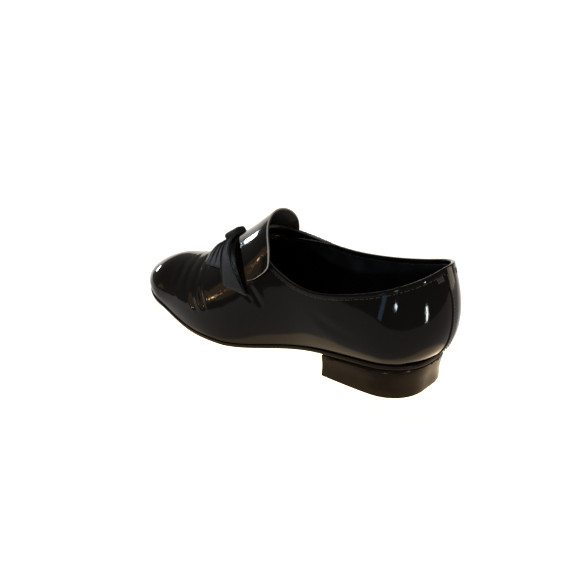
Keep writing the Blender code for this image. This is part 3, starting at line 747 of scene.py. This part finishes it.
def seam_below_rim(edge, downs, tree):
    places = []
    for step in np.linspace(0, RIM_STEPS, round(rim_length / STITCH_PITCH), endpoint=False):
        i = int(step)
        place, normal = tree.find_nearest(Vector(edge[i] + downs[i] * SEAM_DEPTH))[:2]
        places.append((np.array(place), rim_along[i], np.array(normal)))
    return places


lay_stitches("topline_stitches", seam_below_rim(rim_outer, outer_down, outer_tree)
             + seam_below_rim(rim_inner, inner_down, inner_tree))

# %% [markdown]
# ## The other solids
#
# The tab, the strip, the sole, the heel and the insole get the same treatment. The tab is cut
# and not folded, so its narrow faces show the grey of the leather. The lining's own thickness is
# the inner half of the cut, so only the outer half is pale.
#
# The strip is bedded on the upper: each of its points goes to the nearest place on the leather
# and then out by the strip's height. The heel's top spreads a little, up to the sole.

# %% Tab, strip, sole, heel and insole
PALE_DEPTH = 1.1 * MM
TAB_SWELLS = ((0.10, 24.0), (0.045, 8.0), (0.012, 3.0))
tab = smooth_copy("tongue_tab")
dress_skins(tab, patent, lining, cut_edge)
tab_tree = surface_tree(tab, OUTSIDE)
for face in tab.data.polygons:
    if face.material_index == CUT and tab_tree.find_nearest(face.center)[3] > PALE_DEPTH:
        face.material_index = LINED
points = points_of(tab.data)
put_points(tab.data, points + outward_all(points) * swell(points, TAB_SWELLS)[:, None])

STRIP_HEIGHT, STRIP_EDGE, STRIP_BEDDED = 0.75 * MM, 0.3375 * MM, 0.05 * MM
strip = smooth_copy("back_strip", levels=3)
strip.data.materials.append(patent.material)
points = points_of(strip.data)
outside, inside, _ = skins(strip.data)
height = np.full(len(points), STRIP_EDGE)
for group, value in ((outside, STRIP_HEIGHT), (inside, -STRIP_BEDDED)):
    for face in group:
        height[list(strip.data.polygons[face].vertices)] = value
for index, point in enumerate(points):
    place, normal = outer_tree.find_nearest(Vector(point))[:2]
    points[index] = place + normal * height[index]
put_points(strip.data, points)

sole = smooth_copy("outsole", crease=0.8)
sole.data.materials.append(sole_leather.material)

HEEL_MIDDLE, UPWARD, LEVEL = np.array((0.0026, 0.100, 0.0)), (0.0, 0.0, 1.0), (1.0, 1.0, 0.0)
HEEL_RAISED, HEEL_SPREAD = 0.27 * MM, 0.45 * MM
SPREAD_FROM, SPREAD_OVER, TINY = 6 * MM, 8 * MM, 1e-9
heel = smooth_copy("heel", crease=0.9)
heel.data.materials.append(heel_leather.material)
points = points_of(heel.data)
top = np.clip((points[:, 2] - SPREAD_FROM) / SPREAD_OVER, 0.0, 1.0)[:, None] ** 2
away = unit((points - HEEL_MIDDLE) * LEVEL + TINY)
put_points(heel.data, points + top * (away * HEEL_SPREAD + HEEL_RAISED * np.array(UPWARD)))

insole = smooth_copy("insole", crease=0.8)
insole.data.materials.append(insole_leather.material)
print("tab:", len(tab.data.polygons), "faces, sole:", len(sole.data.polygons))

# %% [markdown]
# The strip is stitched along both edges. Where its top meets the folded rim, two short rows of
# close stitches beside it, called bar tacks, take the strain of the shoehorn.

# %% Stitch the strip and tack its top
STRIP_SEAM_IN, SEAM_FROM_FOOT, SEAM_FROM_TOP = 0.8 * MM, 2 * MM, 1 * MM
SLICE_HALF, LOOK_BEHIND = 1.5 * MM, 2 * MM
TACKS, TACK_PITCH, TACK_DEPTHS = 6, 0.75 * MM, (4.4 * MM, 6.0 * MM)
TACK_STARTS = ((9.6 * MM, 1), (-6.6 * MM, -1))   # x of the first tack, and the way it goes on
RIM_BACK, NOT_THERE = 0.11, 1.0
strip_points, strip_tree = points_of(strip.data), surface_tree(strip)
lowest, highest = strip_points[:, 2].min(), strip_points[:, 2].max()
places = []
for side in (-1, 1):
    line = []
    for height in np.arange(lowest + SEAM_FROM_FOOT, highest - SEAM_FROM_TOP, STITCH_PITCH):
        near = strip_points[np.abs(strip_points[:, 2] - height) < SLICE_HALF]
        edge_x = near[:, 0].max() if side > 0 else near[:, 0].min()
        behind = Vector((edge_x - side * STRIP_SEAM_IN, near[:, 1].max() + LOOK_BEHIND, height))
        line.append(strip_tree.find_nearest(behind)[:2])
    for here, there in zip(line, line[1:]):
        along = np.array((there[0] - here[0]).normalized())
        places.append((np.array(here[0]), along, np.array(here[1])))
lay_stitches("strip_stitches", places)

places = []
for start, way in TACK_STARTS:
    for k in range(TACKS):
        off = np.abs(rim_outer[:, 0] - start - way * k * TACK_PITCH)
        i = int((off + (rim_outer[:, 1] < RIM_BACK) * NOT_THERE).argmin())
        for depth in TACK_DEPTHS:
            place, normal = outer_tree.find_nearest(
                Vector(rim_outer[i] + outer_down[i] * depth))[:2]
            places.append((np.array(place), outer_down[i], np.array(normal)))
lay_stitches("bar_tacks", places)

# %% [markdown]
# ## The bow
#
# Each loop is a flattened band of ribbon that the knot pinches. Pleats fan out from the knot,
# highest beside it, and a few deep folds run the loop's length. They are pressed into its upper
# layer only and never deeper than the room above the leather, so the loop stays off the vamp.
#
# The flat size of each loop's ribbon is worked out: the ribbon's width, and the length that
# gives one side of the loop its area.

# %% Pleat the loops
RIBBON_WIDTH = 30 * MM
KNOT = Vector((0.001, -0.049, 0.0727))
LOOPS = {    # height of the pleats at the knot in mm, then where deep folds lie across the loop
    "bow_front_lateral": (0.40, (0.50, 0.76, 0.97)),
    "bow_rear_lateral": (0.30, (0.02, 0.22)),
    "bow_front_medial": (0.40, (0.50, 0.76, 0.97)),
    "bow_rear_medial": (0.30, (0.02, 0.22)),
}
HALF_PLEATS, PLEAT_FULL, PLEAT_FADE = 9.0, 8.0 * MM, 12.0 * MM
DEEP_FOLD, FOLD_HALF = 1.25, 0.045   # mm, and a share of the loop's width
FOLD_ENDS, FOLD_EASE = 0.92, 0.45    # shares of the loop's length
UPPER_LAYER, LAYER_FADE, FOLD_STOPS = 1.3, 0.7, 1.1   # mm above the leather
NEAREST_REACH, FAN_FROM = 1.0 * MM, 12.0 * MM
upper_tree = surface_tree(upper)


def across_loop(points, middle):
    """For each point its distance from the knot, and its place from the loop's front to rear."""
    axis = np.array((middle - KNOT).normalized())
    side = np.cross(np.array(outward_of(middle)), axis)
    side *= 1.0 if side[1] > 0 else -1.0
    away = points - np.array(KNOT)
    angle = np.arctan2(away @ side, np.maximum(away @ axis, NEAREST_REACH))
    reach = np.linalg.norm(away, axis=1)
    fan = angle[reach > FAN_FROM]
    return reach, (angle - fan.min()) / (fan.max() - fan.min())


def pleat(piece, middle, height, folds):
    """Presses pleats and folds into the loop's upper layer; returns the way from the knot."""
    points = points_of(piece.data)
    reach, across = across_loop(points, middle)
    above = np.array([upper_tree.find_nearest(Vector(p))[3] for p in points]) / MM
    on_top = np.clip((above - UPPER_LAYER) / LAYER_FADE, 0.0, 1.0)
    fade = np.exp(-np.maximum(reach - PLEAT_FULL, 0.0) / PLEAT_FADE)
    lift = np.cos(across * HALF_PLEATS * math.pi) * height * fade
    ends = np.clip((reach.max() * FOLD_ENDS - reach) / (reach.max() * FOLD_EASE), 0.0, 1.0)
    for fold in folds:
        lift -= DEEP_FOLD * ends * np.exp(-((across - fold) / FOLD_HALF) ** 2)
    room = np.maximum(above - FOLD_STOPS, 0.0)
    lift = np.maximum(lift, -room)
    put_points(piece.data, points + outward_all(points) * (lift * on_top * MM)[:, None])
    return reach


def mark_along(piece, along):
    """Stores the way along the ribbon, which draws its ribs."""
    piece.data.attributes.new("along", "FLOAT", "POINT").data.foreach_set("value", along)


for name, (height, folds) in LOOPS.items():
    piece = smooth_copy(name, levels=3, crease=0.7)
    piece.data.materials.append(ribbon.material)
    low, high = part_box(name)
    mark_along(piece, pleat(piece, (Vector(low) + Vector(high)) / 2, height, folds))
    one_side = sum(face.area for face in piece.data.polygons) / 2
    length = one_side / RIBBON_WIDTH
    print(name, "ribbon", round(length / MM), "mm long")

# %% [markdown]
# The knot is a short wrap of the same ribbon. Its pleats run round it as grooves that twist
# slightly from front to rear.

# %% Gather the knot
KNOT_PLEATS, KNOT_PLEAT_HEIGHT, KNOT_TWIST = 9, 0.32 * MM, 260.0   # the twist in radians per m
knot = smooth_copy("bow_knot", levels=4, crease=0.2)
knot.data.materials.append(ribbon.material)
points = points_of(knot.data)
from_middle = (points - (points.min(0) + points.max(0)) / 2) * (1.0, 0.0, 1.0)
round_angle = np.arctan2(from_middle[:, 2], from_middle[:, 0])
groove = np.cos(round_angle * KNOT_PLEATS + points[:, 1] * KNOT_TWIST) * 0.5 - 0.5
put_points(knot.data, points + unit(from_middle) * (groove * KNOT_PLEAT_HEIGHT)[:, None])
mark_along(knot, points[:, 1].copy())
print("bow pieces:", len(LOOPS) + 1)
